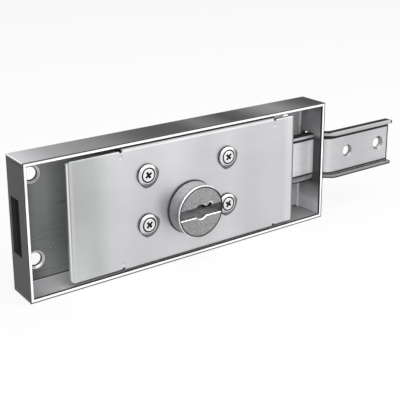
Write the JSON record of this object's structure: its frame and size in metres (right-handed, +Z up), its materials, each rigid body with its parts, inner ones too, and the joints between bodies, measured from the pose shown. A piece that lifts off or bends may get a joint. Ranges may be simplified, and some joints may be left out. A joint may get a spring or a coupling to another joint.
{
  "type": "roller shutter lock",
  "caption": "Open folded steel tray with a satin cover, a round key way for a double-bit key that turns, and a cranked channel bolt that slides out of one end.",
  "frame": {"origin": "middle of the bottom wall's outer face, half way between the front rim and the back", "axes": "+X along the bolt's travel out of the case, +Y from the open front to the back plate, +Z up"},
  "size_m": [0.2037, 0.0252, 0.058],
  "materials": {
    "plated_steel": "zinc plated, lightly brushed",
    "satin_cover": "satin",
    "screw_steel": "bright zinc",
    "head_metal": "fine matt cast grain",
    "bolt_steel": "zinc plated, smooth",
    "brass": "satin",
    "spring_steel": "dark, drawn"
  },
  "bodies": {
    "case": {"case": "plated_steel", "cover_plate": "satin_cover", "cover_screw_1": "screw_steel", "cover_screw_2": "screw_steel", "cover_screw_3": "screw_steel", "cover_screw_4": "screw_steel", "screw_pillar_1": "plated_steel", "screw_pillar_2": "plated_steel", "screw_pillar_3": "plated_steel", "screw_pillar_4": "plated_steel", "barrel_seat": "brass", "bolt_guide_post_left": "screw_steel", "bolt_guide_post_right": "screw_steel", "guide_clip_left": "spring_steel", "guide_clip_right": "spring_steel", "lever_guide_post_upper": "screw_steel", "lever_guide_post_lower": "screw_steel", "spring_pin": "screw_steel", "lever_spring_1": "spring_steel", "lever_spring_2": "spring_steel", "lever_spring_3": "spring_steel", "lever_spring_4": "spring_steel", "lever_spring_5": "spring_steel"},
    "key_way": {"turning_head": "head_metal", "key_barrel": "brass"},
    "bolt": {"bolt": "bolt_steel", "bolt_stump": "screw_steel"},
    "lever_1": {"lever_1": "brass"},
    "lever_2": {"lever_2": "brass"},
    "lever_3": {"lever_3": "brass"},
    "lever_4": {"lever_4": "brass"},
    "lever_5": {"lever_5": "brass"}
  },
  "joints": [
    {"name": "head_turn", "type": "hinge", "parent": "case", "child": "key_way", "pos_m": [-0.001, -0.0085, 0.02349], "axis": [0, 1, 0], "range_deg": [0, 180]},
    {"name": "bolt_slide", "type": "slide", "parent": "case", "child": "bolt", "axis": [1, 0, 0], "range_m": [0, 0.015]},
    {"name": "lever_1_lift", "type": "slide", "parent": "case", "child": "lever_1", "axis": [0, 0, 1], "range_m": [-0.0015, 0.0015], "deforming": ["lever_spring_1"]},
    {"name": "lever_2_lift", "type": "slide", "parent": "case", "child": "lever_2", "axis": [0, 0, 1], "range_m": [-0.0015, 0.0015], "deforming": ["lever_spring_2"]},
    {"name": "lever_3_lift", "type": "slide", "parent": "case", "child": "lever_3", "axis": [0, 0, 1], "range_m": [-0.0015, 0.0015], "deforming": ["lever_spring_3"]},
    {"name": "lever_4_lift", "type": "slide", "parent": "case", "child": "lever_4", "axis": [0, 0, 1], "range_m": [-0.0015, 0.0015], "deforming": ["lever_spring_4"]},
    {"name": "lever_5_lift", "type": "slide", "parent": "case", "child": "lever_5", "axis": [0, 0, 1], "range_m": [-0.0015, 0.0015], "deforming": ["lever_spring_5"]}
  ],
  "couplings": [
    {"joint": "head_turn", "follows": "bolt_slide", "rad_per_m": 209.44}
  ]
}
